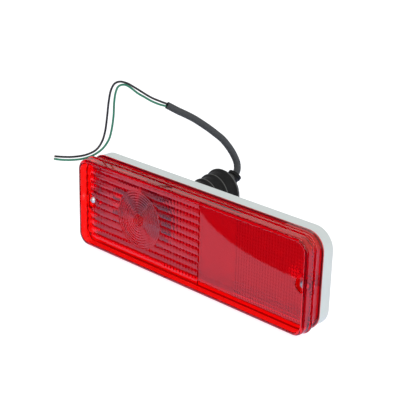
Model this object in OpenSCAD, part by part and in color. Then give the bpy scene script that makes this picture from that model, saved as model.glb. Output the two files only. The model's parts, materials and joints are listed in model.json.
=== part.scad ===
// Trailer tail light: a fluted red lens on a white base, a two-filament bayonet bulb behind its lens rings,
// and a rubber boot over the socket with a sleeved two-wire lead.
// Frame: X along the lamp, Y backwards (the lens faces -Y), Z up.
// The origin is the middle of the base's back face.

/* [Lens] */
// Length of the lens over its front rim
lens_w = 257; // [252:1:262]
// Height of the lens over its front rim
lens_h = 80; // [76:1:84]
// Corner radius of the front rim
lens_r = 11; // [9:0.5:13]
// Depth of the lens's front block
block_d = 8.4; // [7:0.2:10]
// Radius of the front rim's outer edge
rim_round = 2.2; // [1.4:0.1:2.2]
// Radius of the front rim's inner edge
lip_round = 0.6; // [0.3:0.1:0.7]
// Depth of the ridge behind the block
ridge_d = 2.6; // [2:0.2:3]
// How far the ridge stands out past the block
ridge_out = 1; // [0.5:0.1:1.5]
// Depth of the skirt between the ridge and the base
skirt_d = 7.4; // [6:0.2:8]
// Depth of the skirt's flared back part
flare_d = 1.9; // [1.7:0.1:2.6]
// How far the skirt's neck lies inside the block's sides
neck_in = 1.2; // [0.5:0.1:1.2]
// How far the skirt's back edge stands out past the block
skirt_out = 1; // [0.5:0.1:1.5]
// Corner radius of the skirt's back edge
skirt_r = 15; // [13:0.5:17]
// Thickness of the rim and of the side walls
lens_wall = 3; // [2.5:0.1:3.5]
// How far the face lies behind the rim
recess_d = 7; // [6:0.5:8]
// Thickness of the face
face_t = 2.5; // [2:0.1:3]

/* [Optics] */
// Number of horizontal flutes on the face
flute_n = 11; // [9:1:13]
// Height of a flute's crest above the face
flute_rise = 0.9; // [0.5:0.1:1.2]
// Height of the valleys between the flutes above the face
flute_valley = 0.15; // [0.1:0.05:0.3]
// Where the flutes end and the plain half begins
divider_x = 12.5; // [8:0.5:18]
// Radius of the smooth disc that covers the lens rings
ring_zone_r = 26; // [23:0.5:28]
// Number of lens rings behind the disc
ring_n = 11; // [8:1:16]
// Height of the outermost lens ring
ring_depth = 1.2; // [1:0.1:1.6]
// Distance between the fine upright flutes behind the face
fine_pitch = 3.6; // [2:0.2:5]
// Height of the fine upright flutes
fine_depth = 0.3; // [0.2:0.1:0.6]
// Distance between the small prisms of the reflex field behind the plain half
reflex_pitch = 2.75; // [2.5:0.25:4]
// Height of the small prisms
reflex_depth = 0.6; // [0.4:0.1:1.2]
// Where the reflex field begins
reflex_x = 50; // [45:1:60]

/* [Lens screws] */
// Distance of each lens screw from the lens's end
screw_inset = 9; // [8:0.5:9.5]
// Radius of the pocket round a screw head
pocket_r = 6.5; // [5.5:0.5:7]
// Depth of the pocket's floor behind the face
pocket_d = 2.7; // [2.7:0.1:4]
// Radius of a screw head
screw_head_r = 3.6; // [3.2:0.1:4]
// Thickness of a screw head
screw_head_t = 2.6; // [2:0.1:3]
// Radius of a screw's shank
screw_r = 1.9; // [1.6:0.1:2.1]
// Length of a screw under its head
screw_l = 13; // [10:0.5:14.5]

/* [Base] */
// Depth of the white base
base_d = 11; // [10:0.5:13]
// Thickness of the base's side walls
base_wall = 3; // [2.5:0.1:3.5]
// Thickness of the base's floor
base_floor = 2.5; // [2:0.1:3]
// Corner radius of the base
base_r = 17; // [15:0.5:19]
// Width of the gasket and its groove
gasket_w = 1.4; // [1:0.1:1.8]
// Depth of the gasket's groove
gasket_d = 1.2; // [0.8:0.1:1.6]
// Radius of the bosses that take the lens screws
boss_r = 4.2; // [3.8:0.1:4.4]

/* [Tower] */
// Where the bulb's axis crosses the lamp's length
bulb_x = -57.6; // [-62:0.2:-54]
// Radius of the bulb cup at the base's floor
cup_r = 24; // [23:0.5:25]
// Radius of the cup where the socket sits
cup_end_r = 19.5; // [19:0.5:20.5]
// Depth of the cup behind the back face
cup_d = 21; // [18:0.5:24]
// Thickness of the cup's wall and floor
cup_wall = 2.2; // [2:0.1:3]
// Outer radius of the neck that carries the boot
neck_r = 13; // [12:0.5:14]
// Length of the neck
neck_l = 16; // [13:0.5:18]

/* [Socket] */
// Radius of the bulb's cap, which the socket takes
cap_r = 7.5; // [7:0.1:7.5]
// Thickness of the socket shell
shell_t = 0.9; // [0.7:0.1:1]
// Length of the socket shell behind its flange
shell_l = 33; // [32:0.5:36]
// Radius of the socket's flange
socket_flange_r = 18.5; // [18:0.1:18.8]
// Thickness of the socket's flange
socket_flange_t = 1; // [0.8:0.1:1.2]
// Distance of each rivet from the bulb's axis
rivet_x = 15.8; // [15.5:0.1:16]
// Radius of a rivet's shank
rivet_r = 1.4; // [1.2:0.1:1.6]
// Angle that the bulb turns through in its slots
twist = 18; // [14:1:24]

/* [Bulb] */
// Radius of the bulb's glass
glass_r = 13.2; // [12:0.2:13.4]
// Thickness of the glass
glass_t = 0.8; // [0.6:0.1:1]
// Length of the bulb's cap
cap_l = 16; // [15:0.5:17]
// Distance from the glass's centre to the front of the cap
glass_back = 19.3; // [18:0.1:21]

/* [Boot] */
// Thickness of the boot's rubber
boot_t = 2.2; // [1.8:0.1:2.6]
// Number of rings along the boot
boot_rings = 5; // [4:1:6]
// Distance between the boot's rings
boot_pitch = 11.2; // [10:0.2:12]
// Radius of the boot's mouth
boot_mouth_r = 16.4; // [16:0.2:17]
// Radius of the boot's last and largest ring
boot_end_r = 21.4; // [20:0.2:22]
// Depth of the grooves between the rings
boot_groove = 2.2; // [1.5:0.1:2.4]
// Outer radius of the nozzle
nozzle_r = 5.7; // [5.2:0.1:6.2]

/* [Lead] */
// Diameter of the loom sleeve
loom_dia = 6.5; // [6:0.1:6.6]
// Diameter of each wire
wire_dia = 1.9; // [1.6:0.1:2]

/* [Mounting] */
// Distance of each mounting stud from the lens's end
stud_inset = 26.9; // [24:0.1:32]
// Radius of a mounting stud
stud_r = 2.4; // [2:0.1:2.6]
// How much wider a stud's shoulder is than its thread
stud_shoulder = 0.4; // [0.3:0.1:0.6]
// Length of a mounting stud behind the back face
stud_l = 20; // [15:1:28]
// Radius of a stud's head
stud_head_r = 5.5; // [5:0.1:6]
// Thickness of a stud's head
stud_head_t = 2; // [1.5:0.1:2.5]
// Thickness of the ground strap
strap_t = 0.8; // [0.5:0.1:1]
// Width of the ground strap's tongue
strap_w = 8; // [7:0.5:9]
// Width of the ground strap's pad on the floor
pad_w = 27; // [20:1:30]

/* [Hidden] */
$fn = 64;
clear = 0.1;      // clearance of parts that slide in each other
seat = 0.05;      // clearance of parts that are fixed in each other
bite = 0.4;       // how far a feature is sunk into the piece that it grows from
over = 1;         // how far a cut runs past the face it opens

// Depths along Y
seal_y = -base_d - seat;                  // back of the lens, on the gasket
skirt_y = seal_y - skirt_d;               // front of the lens's skirt
block_y = skirt_y - ridge_d;              // back of the lens's block
rim_y = block_y - block_d;                // front of the rim
face_y = rim_y + recess_d;                // front of the face
face_in_y = face_y + face_t;              // back of the face
pocket_y = face_y + pocket_d;             // floor of a screw pocket
floor_y = -base_floor;                    // inside of the base's floor
pin_drop = 9;                             // from the front of the bulb's cap to its bayonet pins
flange_front_y = cup_d - socket_flange_t; // front of the socket's flange
cup_back_y = cup_d + cup_wall;
neck_end_y = cup_back_y + neck_l;
shell_end_y = cup_d + shell_l;
cap_y = flange_front_y + 0.5;             // front of the bulb's cap
cap_end_y = cap_y + cap_l;
glass_y = cap_y - glass_back;             // centre of the bulb's glass
pin_y = cap_y + pin_drop;
sleeve_y = cap_y + 6;                     // end of the glass's neck, inside the cap
stem_y = cap_y - 9.5;                     // front of the glass stem
brake_y = glass_y - 1.45;                 // depth of the brake filament
tail_y = glass_y + 3.55;                  // depth of the tail filament

// Widths
screw_x = lens_w / 2 - screw_inset;
pocket_boss_r = pocket_r + face_t - 0.5;
recess_w = lens_w - 2 * lens_wall;
recess_h = lens_h - 2 * lens_wall;
recess_r = lens_r - lens_wall;
cavity_r = skirt_r - skirt_out - lens_wall;
base_w = lens_w + 2 * skirt_out;
base_h = lens_h + 2 * skirt_out;
stud_x = lens_w / 2 - stud_inset;
flute_pitch = recess_h / flute_n;
flute_bulge = flute_rise - flute_valley;
flute_arc_r = (flute_pitch * flute_pitch / 4 + flute_bulge * flute_bulge) / (2 * flute_bulge);
ring_pitch = (ring_zone_r - 1) / ring_n;

// Socket and bulb
shell_r = cap_r + clear + shell_t;
neck_bore_r = shell_r + 0.7;
rivet_head_r = rivet_r + 0.9;
rivet_head_t = 1;
pin_r = 1;
pin_depth = 1.5;                          // how far a pin is set into the cap
pin_reach = shell_r - clear;              // radius that the bayonet pins reach
slot_w = 2 * (pin_r + clear);
insulator_t = 1;
contact_x = 3.4;                          // distance of the contacts from the bulb's axis
solder_t = 0.9;
sleeve_r = cap_r - 0.7;                   // radius of the glass's neck
filament_r = 0.45;
filament_wire_r = 0.3;
brake_wire_x = 2.6;                       // distance of the brake filament's wires from the bulb's axis
tail_wire_x = 1.8;                        // and of the tail filament's
tail_z = 1.6;                             // how far the tail filament lies above the axis
solder_y = cap_end_y + insulator_t + solder_t;
stud_face_y = solder_y + clear;           // front of the contact studs
stud_face_t = 1.2;
contact_r = 1;                            // radius of a contact stud's shank
contact_face_r = 2;                       // and of its face
solder_r = 1.9;
disc_t = 2.8;
disc_y = stud_face_y + stud_face_t;
disc_end_y = disc_y + disc_t;
contact_end_y = disc_end_y + 3.5;
lip_t = 0.8;                              // rolled lip at the back of the socket shell
seat_t = 1;                               // thickness of the spring seat
seat_y = shell_end_y - lip_t - seat_t;
spring_wire_r = 0.45;
spring_r = cap_r - 1.1;
spring_turns = 4;

// Boot
boot_y = neck_end_y - 10;                 // the boot's mouth
first_ring_y = boot_y + 6.4;
last_ring_y = first_ring_y + (boot_rings - 1) * boot_pitch;
boot_back_y = last_ring_y + 6.6;
boot_flare = 2.2;                         // how late the boot widens towards its last ring

// The lead's nozzle and its route, in millimetres: points chosen by hand along its centre
nozzle_tilt = 38;                         // upward tilt of the nozzle
nozzle_l = 14.5;                          // its length, sunk into the boot
collar_l = 2.6;                           // length of the collar at its end
nozzle_end = [-57.6, 97.6, 12.1];
nozzle_dir = [0, cos(nozzle_tilt), sin(nozzle_tilt)];
loom_route = [
    [-57.6, 92.9, 8.4], [-57.6, 97.6, 12.1], [-58.2, 100.8, 15.8], [-60, 102.2, 21.2], [-62.2, 100.6, 28],
    [-65, 96.8, 36], [-68.5, 91, 44.5], [-72, 85.4, 50.3], [-75.5, 80, 55.5], [-79.3, 73.8, 60.8],
    [-83, 67.6, 65.7], [-87, 61.4, 69.8], [-91, 55.3, 73.5], [-96.2, 46.8, 79.2]];
black_route = [
    [-95.9, 47.3, 80.2], [-100, 42.4, 82.6], [-104.6, 36.7, 85.8], [-108, 31.5, 89.6], [-111.4, 26, 94],
    [-114.2, 21.6, 97.4], [-116.8, 17.5, 100.2], [-120, 12.3, 101.8], [-122.6, 8.1, 99.9], [-124.3, 5.4, 93.7],
    [-125.3, 3.8, 83.6], [-126, 2.6, 71], [-127, 1.2, 58], [-128.6, -1.4, 47.8], [-131.5, -6, 40.4],
    [-136.2, -13.5, 36.4], [-141.5, -22, 35.2], [-146.2, -29.5, 35.5], [-151, -37, 36.6]];
green_route = [
    [-96.5, 46.3, 78.2], [-100.6, 41, 80.2], [-105, 35.8, 83.2], [-108.2, 31, 86.8], [-111.6, 25.6, 90.8],
    [-115.4, 19.6, 96.6], [-118, 15.4, 98.9], [-120.6, 11.2, 97.6], [-121.9, 9.1, 92.3], [-122.7, 8, 83.4],
    [-123, 7.4, 70.7], [-123.8, 5.6, 57.7], [-124.8, 3, 49.2], [-126.6, -2.6, 42], [-129, -11, 37.4],
    [-134, -19.5, 34.6], [-140, -26.5, 33.6], [-145.5, -32.5, 33.6], [-150.4, -38.2, 34.6]];
inner_black_route = [
    [-61, 46, 0], [-61, 51, 0], [-60.9, 56, 0.2], [-60.4, 64, 0.6], [-59.6, 73, 1.2], [-58.9, 81, 2.2],
    [-58.7, 87.5, 4.6], [-58.7, 92.9, 8.4]];
inner_green_route = [
    [-54.2, 46, 0], [-54.2, 51, 0], [-54.3, 56, 0.2], [-54.8, 64, 0.6], [-55.6, 73, 1.2], [-56.3, 81, 2.2],
    [-56.5, 87.5, 4.6], [-56.5, 92.9, 8.4]];

// ---- Helpers ----

module rounded_rect(w, h, r) {
    square([w - 2 * r, h], center = true);
    square([w, h - 2 * r], center = true);
    for (sx = [-1, 1], sz = [-1, 1])
        translate([sx * (w / 2 - r), sz * (h / 2 - r)]) circle(r);
}

// A plate with round corners, from depth y0 to depth y1
module slab(w, h, r, y0, y1) {
    translate([0, y0, 0]) rotate([-90, 0, 0]) linear_extrude(y1 - y0) rounded_rect(w, h, r);
}

// A section swept round a rectangle with round corners: its x runs outwards from the corners' centres and its y
// backwards from depth y
module swept(w, h, r, y) {
    x = w / 2 - r;
    z = h / 2 - r;
    for (low = [0, 1]) mirror([0, 0, low]) {
        translate([x, y, z]) rotate([0, -90, 0]) linear_extrude(2 * x) children();
        for (left = [0, 1]) mirror([left, 0, 0]) translate([x, y, z]) intersection() {
            rotate([-90, 0, 0]) rotate_extrude() children();
            translate([0, -r, 0]) cube(2 * r);
        }
    }
    for (left = [0, 1]) mirror([left, 0, 0]) translate([x, y, -z]) linear_extrude(2 * z) children();
}

// Puts a shape drawn along +Z onto a line along +Y through x, starting at depth y
module along_y(x, y) {
    translate([x, y, 0]) rotate([-90, 0, 0]) children();
}

module rod(x, y0, y1, r) {
    along_y(x, y0) cylinder(r = r, h = y1 - y0);
}

// A turned piece on the bulb's axis: points are [radius, depth]
module turned(points) {
    along_y(bulb_x, 0) rotate_extrude() polygon(points);
}

// A tube of n sides along a route, one ring at each of its points
function unit(v) = v / norm(v);
function tangent(p, i) = unit(p[min(i + 1, len(p) - 1)] - p[max(i - 1, 0)]);
function side(t) = unit(cross(t, abs(t[0]) < 0.9 ? [1, 0, 0] : [0, 0, 1]));
function ring(p, i, r, n) =
    let (t = tangent(p, i), a = side(t), b = cross(t, a))
    [for (k = [0:n - 1]) p[i] + r * (cos(360 * k / n) * a + sin(360 * k / n) * b)];
module tube(route, r, n) {
    rings = len(route);
    points = [for (i = [0:rings - 1]) each ring(route, i, r, n)];
    walls = [for (i = [0:rings - 2], k = [0:n - 1])
        let (a = i * n + k, b = i * n + (k + 1) % n)
        each [[a, b + n, b], [a, a + n, b + n]]];
    first = [for (k = [0:n - 1]) k];
    last = [for (k = [n - 1:-1:0]) (rings - 1) * n + k];
    polyhedron(points, concat(walls, [first], [last]));
}

// ---- Lens ----

module flutes() {
    start_x = -recess_w / 2 - bite;
    difference() {
        intersection() {
            for (i = [0:flute_n - 1])
                translate([start_x, face_y - flute_rise + flute_arc_r, (i - (flute_n - 1) / 2) * flute_pitch])
                    rotate([0, 90, 0]) cylinder(r = flute_arc_r, h = divider_x - start_x);
            translate([start_x - over, face_y - flute_rise - over, -recess_h / 2 - bite])
                cube([divider_x - start_x + 2 * over, flute_rise + over + bite, recess_h + 2 * bite]);
        }
        rod(bulb_x, face_y - flute_rise - over, face_y + over, ring_zone_r);
    }
}

// The rings grow outwards from a third of the full height
function ring_h(i) = ring_depth * (1 + 2 * i / (ring_n - 1)) / 3;
module fresnel_rings() {
    along_y(bulb_x, face_in_y) rotate_extrude() polygon(concat(
        [[0, -bite]],
        [for (i = [0:ring_n - 1])
            each [[i * ring_pitch, 0], [(i + 1) * ring_pitch, ring_h(i)]]],
        [[ring_n * ring_pitch, -bite]]));
}

module fine_flutes() {
    n = floor((divider_x + recess_w / 2) / fine_pitch);
    arch = [0, 0.75, 1, 0.75];                 // height of a flute at each quarter of its width
    difference() {
        translate([divider_x - n * fine_pitch, face_in_y, -recess_h / 2 + lens_wall])
            linear_extrude(recess_h - 2 * lens_wall) polygon(concat(
                [[0, -bite]],
                [for (i = [0:4 * n]) [i * fine_pitch / 4, arch[i % 4] * fine_depth]],
                [[n * fine_pitch, -bite]]));
        rod(bulb_x, face_in_y - over, face_in_y + over, ring_zone_r);
    }
}

// The outline of n ridges, drawn from 0 along x, with valleys at low and crests at high
function zigzag(n, pitch, low, high) = concat(
    [[0, -bite]],
    [for (i = [0:n - 1]) each [[i * pitch, low], [(i + 0.5) * pitch, high]]],
    [[n * pitch, low], [n * pitch, -bite]]);

// Pyramids where upright and level ridges cross
module reflex_prisms() {
    low = 0.1;                                 // height of the valleys between the prisms
    cols = floor((screw_x - reflex_x) / reflex_pitch);
    rows = floor((recess_h - 2 * lens_wall) / reflex_pitch);
    w = cols * reflex_pitch;
    h = rows * reflex_pitch;
    translate([reflex_x, face_in_y, 0]) difference() {
        intersection() {
            translate([0, 0, -h / 2]) linear_extrude(h) polygon(zigzag(cols, reflex_pitch, low, reflex_depth));
            translate([0, 0, -h / 2]) rotate([0, -90, 180]) linear_extrude(w)
                polygon([for (p = zigzag(rows, reflex_pitch, low, reflex_depth)) [p[0], -p[1]]]);
        }
        rod(screw_x - reflex_x, -over, reflex_depth + over, pocket_boss_r);
    }
}

// Sections of the lens's edge: the rim with its round edges, the bead of the ridge, and the sloping skirt
module rim_section() {
    inner = lens_r - lens_wall;
    outer = lens_r - rim_round;
    translate([outer, rim_round]) circle(rim_round);
    translate([inner + lip_round, lip_round]) circle(lip_round);
    translate([inner + lip_round, 0]) square([outer - inner - lip_round, rim_round + bite]);
    translate([inner, lip_round]) square([outer - inner, rim_round + bite - lip_round]);
    translate([outer, rim_round]) square([rim_round, bite]);
}

module ridge_section() {
    bead_r = ridge_d / 2;
    bead_x = lens_r + ridge_out - bead_r;
    translate([bead_x, bead_r]) circle(bead_r);
    translate([bead_x - over, 0]) square([over, ridge_d]);
}

module skirt_section() {
    neck = skirt_r - skirt_out - neck_in;
    inside = cavity_r - over;
    polygon([[inside, -bite], [neck, -bite], [neck, skirt_d - flare_d], [skirt_r, skirt_d], [inside, skirt_d]]);
}

module lens() {
    color([0.85, 0.05, 0.07]) difference() {
        union() {
            difference() {
                union() {
                    slab(lens_w, lens_h, lens_r, rim_y + rim_round, skirt_y);
                    swept(lens_w, lens_h, lens_r, rim_y) rim_section();
                    swept(lens_w, lens_h, lens_r, block_y) ridge_section();
                    swept(base_w, base_h, skirt_r, skirt_y) skirt_section();
                }
                slab(recess_w, recess_h, recess_r, rim_y - over, face_y);
                slab(recess_w, recess_h, cavity_r, face_in_y, seal_y + over);
            }
            flutes();
            rod(bulb_x, face_y - flute_rise, face_y + bite, ring_zone_r);
            fresnel_rings();
            fine_flutes();
            reflex_prisms();
            for (s = [-1, 1]) intersection() {
                rod(s * screw_x, face_in_y - bite, pocket_y + face_t, pocket_boss_r);
                slab(lens_w - lens_wall, lens_h, lens_r, face_in_y - over, pocket_y + face_t + over);
            }
        }
        for (s = [-1, 1]) {
            intersection() {
                rod(s * screw_x, face_y - flute_rise - over, pocket_y, pocket_r);
                slab(recess_w, recess_h, recess_r, face_y - flute_rise - 2 * over, pocket_y + over);
            }
            rod(s * screw_x, pocket_y - over, pocket_y + face_t + over, screw_r + 0.3);
        }
    }
}

module lens_screws() {
    edge_t = 0.5;                              // thickness of the head at its edge
    slot_d = 1.2;                              // depth and width of the cross slots
    slot_t = 0.9;
    rise = screw_head_t - edge_t;
    dome_r = (screw_head_r * screw_head_r + rise * rise) / (2 * rise);
    color([0.75, 0.76, 0.78]) for (s = [-1, 1]) difference() {
        union() {
            intersection() {
                rod(s * screw_x, pocket_y - screw_head_t, pocket_y, screw_head_r);
                translate([s * screw_x, pocket_y - screw_head_t + dome_r, 0]) sphere(dome_r);
            }
            rod(s * screw_x, pocket_y - bite, pocket_y + screw_l, screw_r);
        }
        for (turn = [0, 90]) translate([s * screw_x, pocket_y - screw_head_t, 0]) rotate([0, turn, 0])
            cube([screw_head_r, slot_d * 2, slot_t], center = true);
    }
}

// The ring that the gasket and its groove share, w wide, starting a length of past before the lens's back
module groove(w, past) {
    middle = base_wall / 2;
    out = middle - w / 2;
    in = middle + w / 2;
    difference() {
        slab(base_w - 2 * out, base_h - 2 * out, base_r - out, seal_y - past, seal_y + gasket_d);
        slab(base_w - 2 * in, base_h - 2 * in, base_r - in, seal_y - past - over, seal_y + gasket_d + over);
    }
}

module lens_gasket() {
    color([0.85, 0.85, 0.82]) groove(gasket_w - 2 * seat, 0);
}

// ---- Base ----

module base() {
    color([0.95, 0.96, 0.95]) difference() {
        union() {
            difference() {
                slab(base_w, base_h, base_r, -base_d, 0);
                slab(base_w - 2 * base_wall, base_h - 2 * base_wall, base_r - base_wall, -base_d - over,
                     floor_y);
            }
            turned([[0, floor_y], [cup_r + cup_wall, floor_y], [cup_end_r + cup_wall, cup_back_y],
                    [neck_r, cup_back_y], [neck_r, neck_end_y], [0, neck_end_y]]);
            for (s = [-1, 1]) rod(s * screw_x, pocket_y + face_t, floor_y + bite, boss_r);
        }
        turned([[0, floor_y - over], [cup_r, floor_y - over], [cup_r, floor_y], [cup_end_r, cup_d],
                [neck_bore_r, cup_d], [neck_bore_r, neck_end_y + over], [0, neck_end_y + over]]);
        groove(gasket_w, over);
        for (s = [-1, 1]) {
            rod(s * screw_x, pocket_y + face_t - over, floor_y + bite, screw_r + seat);
            rod(s * stud_x, floor_y - over, over, stud_r + stud_shoulder + seat);
            rod(bulb_x + s * rivet_x, cup_d - over, cup_back_y + over, rivet_r + seat);
        }
    }
}

// ---- Socket ----

module bayonet_slots() {
    along_y(bulb_x, 0) for (half = [0, 180]) rotate([0, 0, half]) {
        rotate([0, 0, 90 - twist]) translate([cap_r - over, -slot_w / 2, flange_front_y - over])
            cube([shell_t + 2 * over, slot_w, pin_y - flange_front_y + over]);
        for (a = [90 - twist, 90]) rotate([0, 0, a]) translate([cap_r - over, 0, pin_y])
            rotate([0, 90, 0]) cylinder(r = slot_w / 2, h = shell_t + 2 * over);
        translate([0, 0, pin_y - slot_w / 2]) linear_extrude(slot_w)
            polygon([[0, 0], for (a = [90 - twist, 90]) (shell_r + over) * [cos(a), sin(a)]]);
    }
}

module socket_shell() {
    inner = cap_r + clear;
    color([0.78, 0.74, 0.6]) difference() {
        turned([[inner, flange_front_y], [socket_flange_r, flange_front_y], [socket_flange_r, cup_d],
                [shell_r, cup_d], [shell_r, shell_end_y], [inner - lip_t, shell_end_y],
                [inner - lip_t, shell_end_y - lip_t], [inner, shell_end_y - lip_t]]);
        bayonet_slots();
        for (s = [-1, 1]) rod(bulb_x + s * rivet_x, flange_front_y - over, cup_d + over, rivet_r + seat);
    }
}

module socket_rivets() {
    color([0.7, 0.7, 0.72]) for (s = [-1, 1]) {
        head_y = flange_front_y - (s < 0 ? strap_t : 0);
        rod(bulb_x + s * rivet_x, head_y - rivet_head_t, head_y, rivet_head_r);
        rod(bulb_x + s * rivet_x, head_y - bite, cup_back_y + bite, rivet_r);
        rod(bulb_x + s * rivet_x, cup_back_y, cup_back_y + rivet_head_t, rivet_head_r);
    }
}

module contact_disc() {
    color([0.45, 0.28, 0.14]) difference() {
        rod(bulb_x, disc_y, disc_end_y, cap_r - clear);
        for (s = [-1, 1]) rod(bulb_x + s * contact_x, disc_y - over, disc_end_y + over, contact_r + seat);
    }
}

module contact_studs() {
    color([0.8, 0.65, 0.3]) for (s = [-1, 1]) {
        rod(bulb_x + s * contact_x, stud_face_y, disc_y, contact_face_r);
        rod(bulb_x + s * contact_x, disc_y - bite, contact_end_y, contact_r);
    }
}

module contact_spring() {
    low = disc_end_y + spring_wire_r;
    high = seat_y - spring_wire_r;
    steps = 12 * spring_turns;
    color([0.6, 0.6, 0.62]) tube(
        [for (i = [0:steps]) let (a = 360 * spring_turns * i / steps)
            [bulb_x + spring_r * cos(a), low + (high - low) * i / steps, spring_r * sin(a)]],
        spring_wire_r, 6);
}

module spring_seat() {
    color([0.5, 0.15, 0.1]) difference() {
        rod(bulb_x, seat_y, seat_y + seat_t, cap_r);
        rod(bulb_x, seat_y - over, seat_y + seat_t + over, contact_x + wire_dia / 2 + bite);
    }
}

// ---- Bulb ----

module bulb_glass() {
    color([0.9, 0.92, 0.95, 0.4]) difference() {
        union() {
            translate([bulb_x, glass_y, 0]) sphere(glass_r);
            rod(bulb_x, glass_y, sleeve_y, sleeve_r);
        }
        translate([bulb_x, glass_y, 0]) sphere(glass_r - glass_t);
        rod(bulb_x, glass_y, sleeve_y - glass_t, sleeve_r - glass_t);
    }
}

module bulb_stem() {
    color([0.85, 0.88, 0.9]) {
        rod(bulb_x, stem_y + 1.5, sleeve_y - glass_t, 2.4);
        rod(bulb_x, stem_y, stem_y + 2, 3.2);
    }
}

module filament_wires() {
    color([0.6, 0.6, 0.6]) for (s = [-1, 1]) {
        rod(bulb_x + brake_wire_x * s, brake_y + filament_r, stem_y, filament_wire_r);
        translate([0, 0, tail_z]) rod(bulb_x + tail_wire_x * s, tail_y + filament_r, stem_y, filament_wire_r);
    }
}

// A filament that overhangs its two wires
module filament(y, z, wire_x) {
    half = wire_x + 0.6;
    translate([bulb_x - half, y, z]) rotate([0, 90, 0]) cylinder(r = filament_r, h = 2 * half);
}

module brake_filament() {
    color([0.35, 0.35, 0.37]) filament(brake_y, 0, brake_wire_x);
}

module tail_filament() {
    color([0.35, 0.35, 0.37]) filament(tail_y, tail_z, tail_wire_x);
}

module bulb_cap() {
    color([0.82, 0.68, 0.35]) difference() {
        rod(bulb_x, cap_y, cap_end_y, cap_r);
        rod(bulb_x, cap_y - over, sleeve_y, sleeve_r + seat);
        pins(cap_r + over);
    }
}

module pins(reach) {
    for (s = [-1, 1]) translate([bulb_x, pin_y, 0]) rotate([90 - 90 * s, 0, 0])
        translate([0, 0, cap_r - pin_depth]) cylinder(r = pin_r, h = reach - cap_r + pin_depth);
}

module bayonet_pins() {
    color([0.8, 0.7, 0.4]) pins(pin_reach);
}

module cap_insulator() {
    color([0.1, 0.08, 0.12]) rod(bulb_x, cap_end_y, cap_end_y + insulator_t, cap_r - 0.4);
}

module solder_contacts() {
    color([0.7, 0.7, 0.72]) for (s = [-1, 1])
        rod(bulb_x + s * contact_x, cap_end_y + insulator_t, solder_y, solder_r);
}

// ---- Ground strap and studs ----

module ground_strap() {
    slack = 0.5;                               // keeps the flat tongue's edges off the round cup
    margin = 1.4;                              // metal left past a rivet or stud
    cup_x = bulb_x - cup_r + slack;
    foot_x = bulb_x - cup_end_r + slack;
    start_x = -stud_x - stud_head_r - margin;
    end_x = bulb_x - rivet_x + rivet_r + margin;
    color([0.42, 0.42, 0.41]) difference() {
        union() {
            translate([0, 0, -strap_w / 2]) linear_extrude(strap_w) polygon([
                [start_x, floor_y - strap_t], [start_x, floor_y], [cup_x, floor_y], [foot_x, flange_front_y],
                [end_x, flange_front_y], [end_x, flange_front_y - strap_t],
                [foot_x + strap_t, flange_front_y - strap_t], [cup_x + strap_t, floor_y - strap_t]]);
            translate([start_x, floor_y - strap_t, -pad_w / 2])
                cube([cup_x - margin - start_x, strap_t, pad_w]);
        }
        rod(-stud_x, floor_y - strap_t - over, floor_y + over, stud_r + stud_shoulder + seat);
        rod(bulb_x - rivet_x, flange_front_y - strap_t - over, flange_front_y + over, rivet_r + seat);
    }
}

module mounting_studs() {
    color([0.75, 0.75, 0.78]) for (s = [-1, 1]) {
        head_y = floor_y - (s < 0 ? strap_t : 0);
        rod(s * stud_x, head_y - stud_head_t, head_y, stud_head_r);
        rod(s * stud_x, head_y - bite, 0, stud_r + stud_shoulder);
        rod(s * stud_x, -bite, stud_l, stud_r);
    }
}

// ---- Boot and lead ----

function boot_r(y) = boot_mouth_r + (boot_end_r - boot_mouth_r)
    * pow(max(0, y - first_ring_y) / (last_ring_y - first_ring_y), boot_flare);

module boot() {
    crest = 1.6;                               // length of a ring's crest
    edge = 0.4;                                // height of the crest's rounding
    flank = 2;                                 // length of a ring's steep front
    foot = 0.7 * boot_groove;                  // height of that front
    back_r = boot_end_r / 2;                   // radius of the flat back
    shoulder_r = boot_end_r - 5;               // the bend between the last ring and the back
    shoulder_y = last_ring_y + 5.2;
    grip_y = neck_end_y + 1;                   // where the boot's grip on the neck ends
    outside = [for (i = [0:boot_rings - 1]) let (y = first_ring_y + i * boot_pitch, r = boot_r(y))
        each [[r - edge - foot, y - crest - flank], [r - edge, y - crest], [r, y - crest / 2],
              [r - edge, y], [r - boot_groove, y + 2 * edge]]];
    inside = [for (i = [boot_rings - 1:-1:0]) let (y = first_ring_y + i * boot_pitch, r = boot_r(y) - boot_t)
        each [[r, y], [r - foot, y - crest - flank / 2],
              [boot_r(y - boot_pitch) - boot_t - foot, y - boot_pitch + crest]]];
    color([0.1, 0.1, 0.1]) difference() {
        union() {
            turned(concat(
                [[neck_r + seat, boot_y], [boot_mouth_r - 2 * edge, boot_y]],
                [for (p = outside) if (p[1] > boot_y + flank && p[1] <= last_ring_y) p],
                [[boot_end_r - 3 * edge, last_ring_y + 1.4], [shoulder_r, shoulder_y],
                 [back_r, boot_back_y], [0, boot_back_y], [0, boot_back_y - boot_t],
                 [back_r - 1, boot_back_y - boot_t], [shoulder_r - 1.4, shoulder_y - 1.8]],
                [for (p = inside) if (p[1] > grip_y) p],
                [[neck_r + seat, grip_y]]));
            nozzle(nozzle_r, -nozzle_l, 0);
            nozzle(nozzle_r + 0.8, -collar_l, 0);
        }
        nozzle(loom_dia / 2 + seat, -nozzle_l - 5, over);
    }
}

// A rod along the nozzle, from t0 to t1 past the nozzle's end
module nozzle(r, t0, t1) {
    translate(nozzle_end + t0 * nozzle_dir) rotate([nozzle_tilt - 90, 0, 0]) cylinder(r = r, h = t1 - t0);
}

module inner_lead_black() {
    color([0.12, 0.12, 0.13]) tube(inner_black_route, wire_dia / 2, 8);
}

module inner_lead_green() {
    color([0.15, 0.5, 0.4]) tube(inner_green_route, wire_dia / 2, 8);
}

module loom() {
    color([0.22, 0.23, 0.24]) tube(loom_route, loom_dia / 2, 12);
}

module wire_black() {
    color([0.12, 0.12, 0.13]) tube(black_route, wire_dia / 2, 8);
}

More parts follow.
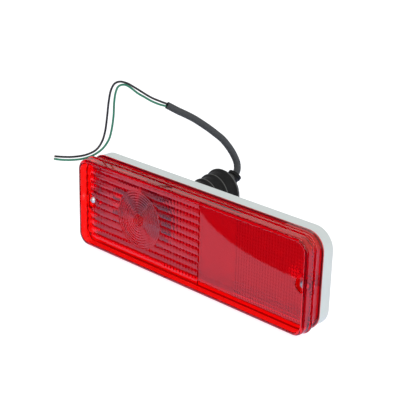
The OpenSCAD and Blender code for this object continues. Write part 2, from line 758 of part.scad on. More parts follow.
module wire_green() {
    color([0.15, 0.5, 0.4]) tube(green_route, wire_dia / 2, 8);
}

lens();
lens_screws();
lens_gasket();
base();
socket_shell();
socket_rivets();
contact_disc();
contact_studs();
contact_spring();
spring_seat();
bulb_glass();
bulb_stem();
filament_wires();
brake_filament();
tail_filament();
bulb_cap();
bayonet_pins();
cap_insulator();
solder_contacts();
ground_strap();
mounting_studs();
boot();
inner_lead_black();
inner_lead_green();
loom();
wire_black();
wire_green();
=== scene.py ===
"""Trailer tail light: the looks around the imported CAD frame. Metres; X along the lamp, Y backwards, Z up."""
import json
import math

import bmesh
import bpy
from mathutils import Matrix, Vector
from mathutils.bvhtree import BVHTree


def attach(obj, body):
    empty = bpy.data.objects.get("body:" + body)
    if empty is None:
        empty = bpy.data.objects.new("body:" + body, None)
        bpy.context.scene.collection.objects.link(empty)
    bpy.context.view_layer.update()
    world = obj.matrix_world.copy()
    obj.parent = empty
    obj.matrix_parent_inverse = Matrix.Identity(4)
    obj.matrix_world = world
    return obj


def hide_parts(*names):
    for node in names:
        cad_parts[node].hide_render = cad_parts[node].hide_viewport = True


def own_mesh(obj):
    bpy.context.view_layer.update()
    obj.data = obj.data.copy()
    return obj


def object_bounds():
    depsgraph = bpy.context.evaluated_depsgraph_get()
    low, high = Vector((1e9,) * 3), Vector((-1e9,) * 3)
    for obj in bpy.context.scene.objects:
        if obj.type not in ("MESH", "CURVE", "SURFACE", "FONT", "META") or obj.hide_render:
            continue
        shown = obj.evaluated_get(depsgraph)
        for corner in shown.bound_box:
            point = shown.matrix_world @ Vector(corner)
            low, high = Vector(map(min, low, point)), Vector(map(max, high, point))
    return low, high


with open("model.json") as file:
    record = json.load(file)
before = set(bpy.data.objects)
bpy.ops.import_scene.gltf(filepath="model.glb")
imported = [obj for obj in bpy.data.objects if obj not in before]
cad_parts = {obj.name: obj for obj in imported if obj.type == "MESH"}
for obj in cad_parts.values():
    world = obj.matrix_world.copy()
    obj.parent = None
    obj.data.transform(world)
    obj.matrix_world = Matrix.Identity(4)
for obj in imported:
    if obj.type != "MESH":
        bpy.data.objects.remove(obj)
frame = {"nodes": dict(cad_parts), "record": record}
CAD_BOX = [list(corner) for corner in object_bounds()]
NODES = frame["nodes"]
MM = 0.001

# ---- Image points, x and y in the photograph's 416 x 416 frame ----

W = H = 416
LEFT_X = 78.8
RIGHT_X = 332.8
TOP_Y = 150.5
BOTTOM_Y = 333.0
POINTS = {
    "left_screw": (91.3, 198.8),
    "right_screw": (303.3, 284.8),
    "rings_centre": (139.7, 219.3),
    "divider_top": (200.7, 205.8),
    "divider_bottom": (197.8, 284.5),
    "boot_top": (218.4, 167.6),
    "nozzle_end": (234.5, 174.0),
    "loom_end": (167.0, 105.0),
}

# ---- Camera: settled by the points above ----

CAMERA_PLACE = Vector((0.5816, -0.6226, 0.3558))
CAMERA_AIM = Vector((0.0082, -0.0081, 0.0262))
CAMERA_ROLL = 1.643
CAMERA_LENS = 96.5
CAMERA_SHIFT = (0.0, 0.0)
SENSOR = 36.0


def make_camera():
    data = bpy.data.cameras.new("camera")
    data.sensor_fit = "AUTO"
    data.sensor_width = SENSOR
    data.lens = CAMERA_LENS
    data.shift_x, data.shift_y = CAMERA_SHIFT
    data.clip_start = 0.01
    made = bpy.data.objects.new("camera", data)
    look = (CAMERA_AIM - CAMERA_PLACE).to_track_quat("-Z", "Y").to_matrix()
    turn = look @ Matrix.Rotation(math.radians(CAMERA_ROLL), 3, "Z")
    made.matrix_world = Matrix.Translation(CAMERA_PLACE) @ turn.to_4x4()
    bpy.context.scene.collection.objects.link(made)
    bpy.context.scene.camera = made
    return made


camera = make_camera()

# ---- Materials ----

# The lens's ring disc, on the bulb's axis.
RINGS_CENTRE = (-57.6 * MM, 0, 0)
DISC_REACH = 25.5 * MM
DISC_BACK_Y = -22.9 * MM
DISC_FRONT_Y = -23.35 * MM
RING_PITCH = 2.27 * MM
RING_DEPTH = 0.13 * MM
BULLSEYE_REACH = 5.7 * MM
BULLSEYE_DEPTH = 0.25 * MM
# A crest of the boot's rings, their spacing, and where a crest's painted highlight line fades out and is full.
BOOT_CREST_Y = 34.8 * MM
BOOT_PITCH = 11.2 * MM
CREST_EDGE = 0.75 * MM
CREST_FULL = 0.35 * MM


class Shader:
    """A material's node tree around one Principled shader, with short calls for its nodes."""

    def __init__(self, name, **inputs):
        self.material = bpy.data.materials.new(name)
        self.material.use_nodes = True
        self.tree = self.material.node_tree
        self.tree.nodes.clear()
        self.output = self.add("OutputMaterial")
        self.surface = self.add("BsdfPrincipled")
        self.link(self.surface, "BSDF", self.output, "Surface")
        for key, value in inputs.items():
            self.surface.inputs[key.replace("_", " ").title().replace("Ior", "IOR")].default_value = value

    def add(self, kind, **settings):
        node = self.tree.nodes.new("ShaderNode" + kind)
        for key, value in settings.items():
            setattr(node, key, value)
        return node

    def link(self, source, output, target, socket):
        self.tree.links.new(source.outputs[output], target.inputs[socket])

    def place(self, stretch=(1, 1, 1)):
        """The piece's own coordinates in metres, stretched along its axes."""
        coordinates = self.add("TexCoord")
        mapping = self.add("Mapping")
        mapping.inputs["Scale"].default_value = stretch
        self.link(coordinates, "Object", mapping, "Vector")
        return mapping

    def noise(self, size, detail=3.0, stretch=(1, 1, 1)):
        """Noise with blobs of about this size in metres."""
        node = self.add("TexNoise")
        node.inputs["Scale"].default_value = 1 / size
        node.inputs["Detail"].default_value = detail
        self.link(self.place(stretch), "Vector", node, "Vector")
        return node

    def spread(self, node, output, low, high):
        """The node's 0 to 1 value spread from low to high."""
        ramp = self.add("MapRange")
        ramp.inputs["To Min"].default_value = low
        ramp.inputs["To Max"].default_value = high
        self.link(node, output, ramp, "Value")
        return ramp

    def roughness(self, size, low, high, stretch=(1, 1, 1)):
        self.link(self.spread(self.noise(size, stretch=stretch), "Fac", low, high), "Result",
                  self.surface, "Roughness")

    def colours(self, size, first, second, stretch=(1, 1, 1)):
        """Mottles the base colour between two colours."""
        mix = self.add("Mix", data_type="RGBA")
        mix.inputs[6].default_value = (*first, 1)
        mix.inputs[7].default_value = (*second, 1)
        self.tree.links.new(self.noise(size, stretch=stretch).outputs["Fac"], mix.inputs[0])
        self.tree.links.new(mix.outputs[2], self.surface.inputs["Base Color"])

    def bump(self, node, output, depth, strength=1.0):
        """Adds a height pattern of this depth in metres."""
        bump = self.add("Bump")
        bump.inputs["Distance"].default_value = depth
        bump.inputs["Strength"].default_value = strength
        self.link(node, output, bump, "Height")
        before = self.surface.inputs["Normal"].links
        if before:
            self.tree.links.new(before[0].from_socket, bump.inputs["Normal"])
        self.link(bump, "Normal", self.surface, "Normal")

    def number(self, operation, first, second=None, output="Value"):
        """A Math node over another node's output and a number, or over two nodes' values."""
        node = self.add("Math", operation=operation)
        self.link(first, output, node, 0)
        if isinstance(second, (int, float)):
            node.inputs[1].default_value = second
        elif second is not None:
            self.link(second, "Value", node, 1)
        return node

    def ringed(self, centre, reach, before, pitch):
        """Concentric waves, -1 to 1, round a point of the piece, within a reach and before a depth along Y."""
        coordinates = self.add("TexCoord")
        from_centre = self.add("VectorMath", operation="SUBTRACT")
        from_centre.inputs[1].default_value = centre
        self.link(coordinates, "Object", from_centre, "Vector")
        flat = self.add("VectorMath", operation="MULTIPLY")
        flat.inputs[1].default_value = (1, 0, 1)
        self.link(from_centre, "Vector", flat, "Vector")
        radius = self.add("VectorMath", operation="LENGTH")
        self.link(flat, "Vector", radius, "Vector")
        wave = self.number("SINE", self.number("MULTIPLY", radius, 2 * math.pi / pitch))
        near = self.number("LESS_THAN", radius, reach)
        parts = self.add("SeparateXYZ")
        self.link(coordinates, "Object", parts, "Vector")
        front = self.number("LESS_THAN", parts, before, output="Y")
        return self.number("MULTIPLY", wave, self.number("MULTIPLY", near, front))

    def let_lamps_through(self):
        """Lets shadow rays pass straight through a clear surface."""
        clear = self.add("BsdfTransparent")
        path = self.add("LightPath")
        mix = self.add("MixShader")
        self.link(path, "Is Shadow Ray", mix, "Fac")
        self.tree.links.new(self.surface.outputs["BSDF"], mix.inputs[1])
        self.tree.links.new(clear.outputs["BSDF"], mix.inputs[2])
        self.link(mix, "Shader", self.output, "Surface")

    def round_edges(self, radius):
        bevel = self.add("Bevel")
        bevel.inputs["Radius"].default_value = radius
        self.link(bevel, "Normal", self.surface, "Normal")


def lens_red():
    """Clear red acrylic, coloured through its thickness, with fine rings on the front of its disc."""
    shader = Shader("lens_red", base_color=(1, 1, 1, 1), transmission_weight=1.0, ior=1.49)
    shader.bump(shader.noise(9 * MM, detail=1), "Fac", 0.02 * MM, 0.5)
    for reach, depth in ((DISC_REACH, RING_DEPTH), (BULLSEYE_REACH, BULLSEYE_DEPTH)):
        shader.bump(shader.ringed(RINGS_CENTRE, reach, DISC_BACK_Y, RING_PITCH), "Value", depth)
    shader.roughness(6 * MM, 0.02, 0.06)
    tint = shader.add("VolumeAbsorption")
    tint.inputs["Color"].default_value = (0.988, 0.05, 0.03, 1)
    tint.inputs["Density"].default_value = 1400
    shader.link(tint, "Volume", shader.output, "Volume")
    shader.let_lamps_through()
    return shader.material


def base_white():
    shader = Shader("base_white", base_color=(0.83, 0.86, 0.85, 1), ior=1.5)
    shader.round_edges(0.6 * MM)
    shader.colours(18 * MM, (0.63, 0.68, 0.665), (0.58, 0.63, 0.62))
    shader.bump(shader.noise(0.7 * MM, detail=2), "Fac", 0.02 * MM, 0.6)
    shader.roughness(3 * MM, 0.32, 0.48)
    return shader.material


def rubber():
    """Black rubber, with a painted highlight: a lighter line along the crests of the boot's rings."""
    shader = Shader("black_rubber", base_color=(0.012, 0.012, 0.012, 1), specular_ior_level=0.15)
    shader.round_edges(0.5 * MM)
    shader.colours(5 * MM, (0.006, 0.006, 0.006), (0.013, 0.013, 0.0125))
    parts = shader.add("SeparateXYZ")
    shader.link(shader.add("TexCoord"), "Object", parts, "Vector")
    from_crest = shader.number("PINGPONG", shader.number("SUBTRACT", parts, BOOT_CREST_Y, output="Y"),
                               BOOT_PITCH / 2)
    crest = shader.add("MapRange", interpolation_type="SMOOTHSTEP")
    crest.inputs["From Min"].default_value = CREST_EDGE
    crest.inputs["From Max"].default_value = CREST_FULL
    shader.link(from_crest, "Value", crest, "Value")
    mottled = shader.surface.inputs["Base Color"].links[0].from_socket
    # Painted highlight: the crests are made lighter in the base colour, standing in for light catching them.
    painted_highlight = shader.add("Mix", data_type="RGBA")
    shader.link(crest, "Result", painted_highlight, 0)
    shader.tree.links.new(mottled, painted_highlight.inputs[6])
    painted_highlight.inputs[7].default_value = (0.10, 0.10, 0.095, 1)
    shader.tree.links.new(painted_highlight.outputs[2], shader.surface.inputs["Base Color"])
    shader.bump(shader.noise(0.5 * MM, detail=4), "Fac", 0.04 * MM, 0.7)
    shader.roughness(1.5 * MM, 0.42, 0.62)
    return shader.material


def foam():
    shader = Shader("gasket_foam", base_color=(0.6, 0.6, 0.57, 1))
    shader.colours(2 * MM, (0.62, 0.62, 0.59), (0.5, 0.5, 0.48))
    shader.bump(shader.noise(0.3 * MM, detail=3), "Fac", 0.05 * MM, 0.7)
    shader.roughness(1 * MM, 0.7, 0.9)
    return shader.material


def woven():
    """The loom sleeve's charcoal weave, fine along its length."""
    shader = Shader("loom_sleeve", base_color=(0.045, 0.047, 0.05, 1))
    shader.colours(1.2 * MM, (0.036, 0.038, 0.041), (0.062, 0.065, 0.068))
    shader.bump(shader.noise(0.35 * MM, detail=3), "Fac", 0.1 * MM, 0.8)
    shader.roughness(1 * MM, 0.6, 0.8)
    return shader.material


def insulation(name, colour):
    shader = Shader(name, base_color=(*colour, 1), ior=1.5)
    shader.colours(4 * MM, colour, [0.8 * part for part in colour])
    shader.bump(shader.noise(0.6 * MM, detail=2), "Fac", 0.02 * MM, 0.5)
    shader.roughness(2 * MM, 0.3, 0.45)
    return shader.material


def metal(name, colour, low, high, grain=(1, 1, 1)):
    shader = Shader(name, base_color=(*colour, 1), metallic=1.0)
    shader.round_edges(0.15 * MM)
    shader.colours(2 * MM, colour, [0.82 * part for part in colour], grain)
    shader.bump(shader.noise(0.25 * MM, detail=3, stretch=grain), "Fac", 0.01 * MM, 0.6)
    shader.roughness(0.8 * MM, low, high, grain)
    return shader.material


def hard(name, colour, low, high):
    """Board, fibre and other hard insulating pieces."""
    shader = Shader(name, base_color=(*colour, 1))
    shader.colours(1.5 * MM, colour, [0.7 * part for part in colour])
    shader.bump(shader.noise(0.3 * MM, detail=3), "Fac", 0.02 * MM, 0.6)
    shader.roughness(1 * MM, low, high)
    return shader.material


def clear_glass():
    shader = Shader("bulb_glass", base_color=(0.95, 0.97, 0.97, 1), transmission_weight=1.0, ior=1.45)
    shader.bump(shader.noise(6 * MM, detail=1), "Fac", 0.05 * MM, 0.4)
    shader.roughness(4 * MM, 0.0, 0.03)
    shader.let_lamps_through()
    return shader.material


MATERIALS = {
    "lens_red": lens_red(),
    "base_white": base_white(),
    "screw_steel": metal("screw_steel", (0.95, 0.95, 0.93), 0.25, 0.4),
    "plated_steel": metal("plated_steel", (0.24, 0.23, 0.21), 0.35, 0.55, (1, 4, 1)),
    "spring_steel": metal("spring_steel", (0.55, 0.55, 0.56), 0.2, 0.35),
    "filament_steel": metal("filament_steel", (0.35, 0.35, 0.37), 0.3, 0.5),
    "contact_brass": metal("contact_brass", (0.80, 0.62, 0.30), 0.18, 0.32, (1, 4, 1)),
    "solder": metal("solder", (0.62, 0.63, 0.65), 0.3, 0.5),
    "brown_board": hard("brown_board", (0.22, 0.10, 0.045), 0.4, 0.6),
    "red_fibre": hard("red_fibre", (0.30, 0.06, 0.035), 0.5, 0.7),
    "cap_black": hard("cap_black", (0.03, 0.025, 0.04), 0.1, 0.25),
    "bulb_glass": clear_glass(),
    "black_rubber": rubber(),
    "loom_sleeve": woven(),
    "wire_black": insulation("wire_black", (0.018, 0.019, 0.022)),
    "wire_green": insulation("wire_green", (0.026, 0.24, 0.14)),
    "gasket_foam": foam(),
}
COPPER = metal("copper", (0.75, 0.36, 0.22), 0.25, 0.4)

# ---- Meshes ----


def finished(name, vertices, faces, slot, body, material=None):
    """A smooth mesh piece in its slot's material or the one given, riding on a body."""
    mesh = bpy.data.meshes.new(name)
    mesh.from_pydata(vertices, [], faces)
    mesh.validate()
    mesh.update()
    mesh.shade_smooth()
    piece = bpy.data.objects.new(name, mesh)
    bpy.context.scene.collection.objects.link(piece)
    mesh.materials.append(material or MATERIALS[slot])
    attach(piece, body)
    return piece


def curve_through(points, spacing):
    """Points about this far apart along a smooth curve through the given ones."""
    padded = [points[0] * 2 - points[1], *points, points[-1] * 2 - points[-2]]
    found = [points[0]]
    for i in range(1, len(padded) - 2):
        p0, p1, p2, p3 = padded[i - 1:i + 3]
        steps = max(1, round((p2 - p1).length / spacing))
        for k in range(1, steps + 1):
            t = k / steps
            found.append(0.5 * (2 * p1 + (p2 - p0) * t + (2 * p0 - 5 * p1 + 4 * p2 - p3) * t ** 2
                                + (3 * p1 - p0 - 3 * p2 + p3) * t ** 3))
    return found


def frames_along(path):
    """Two steady cross directions at each point of a path."""
    across = Vector((0, 0, 1)).cross(path[1] - path[0]).normalized()
    frames = []
    for i, point in enumerate(path):
        along = (path[min(i + 1, len(path) - 1)] - path[max(i - 1, 0)]).normalized()
        across = (across - along * across.dot(along)).normalized()
        frames.append((across, along.cross(across)))
    return frames


# ---- The lead: routes repeated from the CAD source, in metres ----

LOOM_ROUTE = [Vector(p) for p in (
    (-0.0576, 0.0929, 0.0084), (-0.0576, 0.0976, 0.0121), (-0.0582, 0.1008, 0.0158), (-0.0600, 0.1022, 0.0212),
    (-0.0622, 0.1006, 0.0280), (-0.0650, 0.0968, 0.0360), (-0.0685, 0.0910, 0.0445), (-0.0720, 0.0854, 0.0503),
    (-0.0755, 0.0800, 0.0555), (-0.0793, 0.0738, 0.0608), (-0.0830, 0.0676, 0.0657), (-0.0870, 0.0614, 0.0698),
    (-0.0910, 0.0553, 0.0735), (-0.0962, 0.0468, 0.0792))]
BLACK_ROUTE = [Vector(p) for p in (
    (-0.0959, 0.0473, 0.0802), (-0.1000, 0.0424, 0.0826), (-0.1046, 0.0367, 0.0858), (-0.1080, 0.0315, 0.0896),
    (-0.1114, 0.0260, 0.0940), (-0.1142, 0.0216, 0.0974), (-0.1168, 0.0175, 0.1002), (-0.1200, 0.0123, 0.1018),
    (-0.1226, 0.0081, 0.0999), (-0.1243, 0.0054, 0.0937), (-0.1253, 0.0038, 0.0836), (-0.1260, 0.0026, 0.0710),
    (-0.1270, 0.0012, 0.0580), (-0.1286, -0.0014, 0.0478), (-0.1315, -0.0060, 0.0404),
    (-0.1362, -0.0135, 0.0364), (-0.1415, -0.0220, 0.0352), (-0.1462, -0.0295, 0.0355),
    (-0.1510, -0.0370, 0.0366))]
GREEN_ROUTE = [Vector(p) for p in (
    (-0.0965, 0.0463, 0.0782), (-0.1006, 0.0410, 0.0802), (-0.1050, 0.0358, 0.0832), (-0.1082, 0.0310, 0.0868),
    (-0.1116, 0.0256, 0.0908), (-0.1154, 0.0196, 0.0966), (-0.1180, 0.0154, 0.0989), (-0.1206, 0.0112, 0.0976),
    (-0.1219, 0.0091, 0.0923), (-0.1227, 0.0080, 0.0834), (-0.1230, 0.0074, 0.0707), (-0.1238, 0.0056, 0.0577),
    (-0.1248, 0.0030, 0.0492), (-0.1266, -0.0026, 0.0420), (-0.1290, -0.0110, 0.0374),
    (-0.1340, -0.0195, 0.0346), (-0.1400, -0.0265, 0.0336), (-0.1455, -0.0325, 0.0336),
    (-0.1504, -0.0382, 0.0346))]
LOOM_DIAMETER = 6.5 * MM
LOOM_STEP = 1.2 * MM
LOOM_RIBS = 24
LOOM_RIB_HEIGHT = 0.09 * MM
LOOM_OPEN_RINGS = 6
WIRE_DIAMETER = 1.9 * MM
WIRE_STEP = 1.0 * MM
WIRE_SIDES = 16
CORE_DIAMETER = 1.1 * MM
CORE_LENGTH = 0.4 * MM
CORE_SIDES = 12
HOLLOW_SHARE = 0.72


def swept(path, sides, radius_at, hollow=0):
    """Vertices and faces of a tube along a path. radius_at(i, angle) gives its outline, and this many hollow
    rings are folded back inside its far end."""
    frames = frames_along(path)
    rings = [(i, 1.0) for i in range(len(path))]
    rings += [(len(path) - 1 - k, HOLLOW_SHARE) for k in range(hollow)]
    vertices = []
    for i, share in rings:
        across, up = frames[i]
        for k in range(sides):
            angle = 2 * math.pi * k / sides
            reach = radius_at(i, angle) * share
            vertices.append(path[i] + across * reach * math.cos(angle) + up * reach * math.sin(angle))
    faces = [(a * sides + k, a * sides + (k + 1) % sides, (a + 1) * sides + (k + 1) % sides, (a + 1) * sides + k)
             for a in range(len(rings) - 1) for k in range(sides)]
    faces.append(tuple(range(sides - 1, -1, -1)))
    faces.append(tuple(range((len(rings) - 1) * sides, len(rings) * sides)))
    return vertices, faces


def make_loom():
    """The woven sleeve, with ribs that alternate along it and an open far end."""
    path = curve_through(LOOM_ROUTE, LOOM_STEP)

    def radius(i, angle):
        weave = 0.5 + 0.5 * math.cos(LOOM_RIBS * angle + math.pi * (i % 2))
        return LOOM_DIAMETER / 2 - LOOM_RIB_HEIGHT * (1 - weave)

    loom = finished("loom_sleeve", *swept(path, 4 * LOOM_RIBS, radius, hollow=LOOM_OPEN_RINGS),
                    "loom_sleeve", "housing")
    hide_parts("loom")
    return loom


def make_wire(name, route, node, slot):
    """A wire with its copper core just past the cut end."""
    path = curve_through(route, WIRE_STEP)
    wire = finished(name, *swept(path, WIRE_SIDES, lambda i, angle: WIRE_DIAMETER / 2), slot, "housing")
    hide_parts(node)
    end, along = path[-1], (path[-1] - path[-2]).normalized()
    core_path = [end - along * CORE_LENGTH, end, end + along * CORE_LENGTH]
    core = finished(name + "_core", *swept(core_path, CORE_SIDES, lambda i, angle: CORE_DIAMETER / 2),
                    "contact_brass", "housing", COPPER)


LOOM = make_loom()
make_wire("black_lead", BLACK_ROUTE, "wire_black", "wire_black")
make_wire("green_lead", GREEN_ROUTE, "wire_green", "wire_green")

# ---- The lens: the CAD moulding with its back's relief as shallow as the photograph's optics look ----

# The plain back's plane, then each relief's place, its deepest reach behind that plane and the share kept.
FACE_IN_Y = -19.95 * MM
RINGS_REACH = 26.5 * MM
RINGS_DEPTH = 1.3 * MM
RINGS_SHARE = 0.3
REFLEX_X = 49.5 * MM
REFLEX_DEPTH = 0.7 * MM
REFLEX_SHARE = 0.62
DIVIDER_X = 12.5 * MM
FINE_DEPTH = 0.35 * MM
FINE_SHARE = 0.7
FINE_SHARE_LEFT = 0.45
LEFT_FROM_X = -20 * MM
LEFT_RAMP = 30 * MM
WELD = 0.001 * MM
SHARP_ANGLE = math.radians(16)


def moulded_lens():
    """The CAD lens with each kind of relief on its back scaled about the plain back's plane."""
    source = NODES["lens"].data
    vertices = []
    for vertex in source.vertices:
        x, y, z = vertex.co
        deep = y - FACE_IN_Y
        if 0 < deep < RINGS_DEPTH and math.hypot(x - RINGS_CENTRE[0], z) < RINGS_REACH:
            y = FACE_IN_Y + deep * RINGS_SHARE
        elif 0 < deep < REFLEX_DEPTH and x > REFLEX_X:
            y = FACE_IN_Y + deep * REFLEX_SHARE
        elif 0 < deep < FINE_DEPTH and x < DIVIDER_X:
            towards_left = min(1, max(0, (LEFT_FROM_X - x) / LEFT_RAMP))
            y = FACE_IN_Y + deep * (FINE_SHARE + (FINE_SHARE_LEFT - FINE_SHARE) * towards_left)
        vertices.append((x, y, z))
    lens = finished("lens_moulded", vertices, [tuple(face.vertices) for face in source.polygons],
                    "lens_red", "lens")
    work = bmesh.new()
    work.from_mesh(lens.data)
    bmesh.ops.remove_doubles(work, verts=work.verts, dist=WELD)
    work.to_mesh(lens.data)
    work.free()
    lens.data.set_sharp_from_angle(angle=SHARP_ANGLE)
    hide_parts("lens")
    return lens


LENS = moulded_lens()

# ---- The contact's spring, drawn at one length; the real one shortens as a bulb presses the contact in ----

SPRING_RADIUS = 6.35 * MM
SPRING_WIRE = 0.9 * MM
SPRING_TURNS = 4
SPRING_STEPS_A_TURN = 48
SPRING_SIDES = 10
SPRING_FRONT = 42.5 * MM
SPRING_BACK = 52.2 * MM


def make_spring():
    """A coil with half a flat turn at each end."""
    low = SPRING_FRONT + SPRING_WIRE / 2
    high = SPRING_BACK - SPRING_WIRE / 2
    steps = SPRING_STEPS_A_TURN * (SPRING_TURNS + 1)
    path = []
    for i in range(steps + 1):
        turn = i / steps * (SPRING_TURNS + 1)
        rise = min(1, max(0, (turn - 0.5) / SPRING_TURNS))
        path.append(Vector((RINGS_CENTRE[0] + SPRING_RADIUS * math.cos(2 * math.pi * turn),
                            low + (high - low) * rise, SPRING_RADIUS * math.sin(2 * math.pi * turn))))
    spring = finished("contact_spring_coil", *swept(path, SPRING_SIDES, lambda i, angle: SPRING_WIRE / 2),
                      "spring_steel", "housing")
    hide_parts("contact_spring")
    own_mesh(spring)


make_spring()

# ---- CAD nodes ----

for part in frame["record"]["subparts"]:
    name, slot = part["node"], part["material_slot"]
    NODES[name].data.materials.clear()
    NODES[name].data.materials.append(MATERIALS[slot])

# ---- Floor, the cards that the lens mirrors, and lights ----

FLOOR_Z = CAD_BOX[0][2] - 1.5 * MM
FLOOR_RADIUS = 6.0
GREY_Z = FLOOR_Z + 0.5 * MM
ROUND_Z = FLOOR_Z + 1 * MM
CARD_Z = ROUND_Z + 1 * MM
# The round card's edge is the curved edge of the sheen across the right half of the lens.
ROUND_CENTRE = (0.060, -0.4087)
ROUND_RADIUS = 0.308
GREY_CORNERS = ((-5, -5), (5, -5), (5, 5), (-5, 5))
BLACK_CARDS = {
    "dark_band": ((-0.185, -0.150), (-0.115, -0.160), (-0.105, -0.130), (-0.170, -0.118)),
    "dark_left": ((-1.0, -1.5), (-0.2, -1.5), (-0.2, -0.42), (-1.0, -0.42)),
    "dark_right": ((0.136, -0.024), (0.12, -0.1), (0.1, -1.5), (1.5, -1.5), (1.5, 0.5), (0.6, 0.24)),
    "dark_end": ((-0.9, -0.125), (-0.19, -0.125), (-0.19, 0.3), (-0.9, 0.3)),
}
WALL_X = -1.0
WALL_CORNERS = ((-0.05, ROUND_Z), (-2.0, ROUND_Z), (-2.0, 2.0), (-0.05, 2.0))


def plain(name, colour, roughness, glow, glow_colour=(1, 1, 1)):
    shader = Shader(name, base_color=(*colour, 1), roughness=roughness, emission_color=(*glow_colour, 1),
                    emission_strength=glow)
    return shader.material


# Painted reflection: the black cards glow a faint blue, which the lens shows as the blue tint of its dark
# reflections.
CARD_BLACK = plain("card_black", (0.0, 0.0, 0.0), 1.0, 1.0, (0.0, 0.01, 0.09))
# Painted sheen: this card glows a bluish white that the lens mirrors in place of the floor, dimmer and bluer
# than the floor the camera sees.
CARD_SHEEN_GLOW = plain("card_sheen_glow", (0.0, 0.0, 0.0), 1.0, 1.0, (0.69, 0.78, 1.12))


def sheet(name, corners, material):
    """A flat piece of the stage."""
    mesh = bpy.data.meshes.new(name)
    mesh.from_pydata(corners, [], [tuple(range(len(corners)))])
    mesh.materials.append(material)
    made = bpy.data.objects.new(name, mesh)
    bpy.context.scene.collection.objects.link(made)
    return made


def disc(centre, radius, z, sides=96):
    return [(centre[0] + radius * math.cos(2 * math.pi * k / sides),
             centre[1] + radius * math.sin(2 * math.pi * k / sides), z) for k in range(sides)]


def mirror_card(name, corners, material=CARD_BLACK):
    """A card that only reflections show, as a studio's unlit parts do: it paints the lens's reflections, dark or
    glowing.
    """
    card = sheet(name, corners, material)
    card.visible_camera = False
    card.visible_diffuse = False
    card.visible_shadow = False
    card.visible_transmission = False
    card.visible_volume_scatter = False


sheet("floor", disc((0, 0), FLOOR_RADIUS, FLOOR_Z), plain("floor_white", (0.3, 0.3, 0.3), 0.9, 0.85))
# Painted sheen: the glowing card that the lens mirrors as the floor.
mirror_card("painted_floor_sheen", [(x, y, GREY_Z) for x, y in GREY_CORNERS], CARD_SHEEN_GLOW)
mirror_card("dark_round", disc(ROUND_CENTRE, ROUND_RADIUS, ROUND_Z))
for card_name, card_corners in BLACK_CARDS.items():
    mirror_card(card_name, [(x, y, CARD_Z) for x, y in card_corners])
mirror_card("dark_wall", [(WALL_X, y, z) for y, z in WALL_CORNERS])


def area_light(name, place, size, power):
    """A square lamp that faces the object."""
    data = bpy.data.lights.new(name, "AREA")
    data.shape = "SQUARE"
    data.size = size
    data.energy = power
    light = bpy.data.objects.new(name, data)
    turn = (-Vector(place)).to_track_quat("-Z", "Y")
    light.matrix_world = Matrix.Translation(place) @ turn.to_matrix().to_4x4()
    bpy.context.scene.collection.objects.link(light)


area_light("key", (-0.5, -0.9, 1.6), size=1.0, power=5)
area_light("fill", (1.3, 0.3, 1.2), size=1.0, power=3)
area_light("front", (0.2, -1.6, 0.15), size=0.8, power=3.5)


def white_studio(shown, lit):
    """A white world: what the camera sees of it, and how strongly it lights."""
    world = bpy.data.worlds.new("studio")
    world.use_nodes = True
    nodes = world.node_tree.nodes
    path = nodes.new("ShaderNodeLightPath")
    strength = nodes.new("ShaderNodeMapRange")
    strength.inputs["To Min"].default_value = lit
    strength.inputs["To Max"].default_value = shown
    world.node_tree.links.new(path.outputs["Is Camera Ray"], strength.inputs["Value"])
    world.node_tree.links.new(strength.outputs["Result"], nodes["Background"].inputs["Strength"])
    nodes["Background"].inputs["Color"].default_value = (1, 1, 1, 1)
    bpy.context.scene.world = world


white_studio(shown=1.0, lit=0.8)
bpy.context.scene.view_settings.view_transform = "Standard"
# Light turns many times inside a thick clear moulding before it leaves it.
cycles = bpy.context.scene.cycles
cycles.max_bounces = 32
cycles.glossy_bounces = 24
cycles.transmission_bounces = 24
cycles.transparent_max_bounces = 16

# ---- Where the image points' things show ----

SIGHT_MARGIN = 0.5 * MM
DIVIDER_HALF_WIDTH = 0.2 * MM
DIVIDER_FRONT_Y = -22 * MM
NOZZLE_END_Y = 94 * MM
LOOM_END_REACH = 4 * MM


def seen(places):
    """Image places of points in the world, x and y in the photograph's frame."""
    inverse = camera.matrix_world.inverted()
    long_side = max(W, H)
    shown = []
    for place in places:
        near = inverse @ Vector(place)
        scale = long_side * CAMERA_LENS / SENSOR / -near.z
        shown.append((W / 2 - CAMERA_SHIFT[0] * long_side + near.x * scale,
                      H / 2 + CAMERA_SHIFT[1] * long_side - near.y * scale))
    return shown


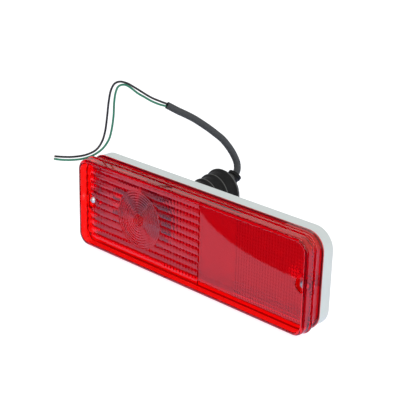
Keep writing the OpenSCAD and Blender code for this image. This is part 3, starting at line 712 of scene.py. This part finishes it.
def showing(places, trees):
    """Image places of the points that the camera sees, with nothing but a small margin before them."""
    found = []
    for place in places:
        way = Vector(place) - CAMERA_PLACE
        reach = way.length - SIGHT_MARGIN
        way.normalize()
        if all(tree.ray_cast(CAMERA_PLACE, way, reach)[0] is None for tree in trees):
            found.append(place)
    return seen(found)


def middle(places):
    xs, ys = [x for x, y in places], [y for x, y in places]
    return ((min(xs) + max(xs)) / 2, (min(ys) + max(ys)) / 2)


def write_points():
    """Works out how far each named thing shows from its image point."""
    solids = [LENS, LOOM] + [NODES[name] for name in ("base", "boot", "lens_screws")]
    depsgraph = bpy.context.evaluated_depsgraph_get()
    trees = [BVHTree.FromObject(piece, depsgraph) for piece in solids]
    corners = {piece: [v.co for v in piece.data.vertices] for piece in solids}
    object_shown = showing([v for piece in solids if piece is not LOOM for v in corners[piece]], trees)
    boot_shown = showing(corners[NODES["boot"]], trees)
    divider = showing([v for v in corners[LENS]
                       if abs(v.x - DIVIDER_X) < DIVIDER_HALF_WIDTH and v.y < DIVIDER_FRONT_Y], trees)
    screws = corners[NODES["lens_screws"]]
    shown = {
        "left_screw": middle(showing([v for v in screws if v.x < 0], trees)),
        "right_screw": middle(showing([v for v in screws if v.x > 0], trees)),
        "rings_centre": seen([(RINGS_CENTRE[0], DISC_FRONT_Y, 0)])[0],
        "divider_top": min(divider, key=lambda place: place[1]),
        "divider_bottom": max(divider, key=lambda place: place[1]),
        "boot_top": min(boot_shown, key=lambda place: place[1]),
        "nozzle_end": middle(seen([v for v in corners[NODES["boot"]] if v.y > NOZZLE_END_Y])),
        "loom_end": middle(seen([v for v in corners[LOOM] if (v - LOOM_ROUTE[-1]).length < LOOM_END_REACH])),
    }
    offsets = {name: [round(place[0] - POINTS[name][0], 2), round(place[1] - POINTS[name][1], 2)]
               for name, place in shown.items()}
    offsets["left"] = [round(min(x for x, y in object_shown) - LEFT_X, 2), 0]
    offsets["right"] = [round(max(x for x, y in object_shown) - RIGHT_X, 2), 0]
    offsets["top"] = [0, round(min(y for x, y in object_shown) - TOP_Y, 2)]
    offsets["bottom"] = [0, round(max(y for x, y in object_shown) - BOTTOM_Y, 2)]


write_points()
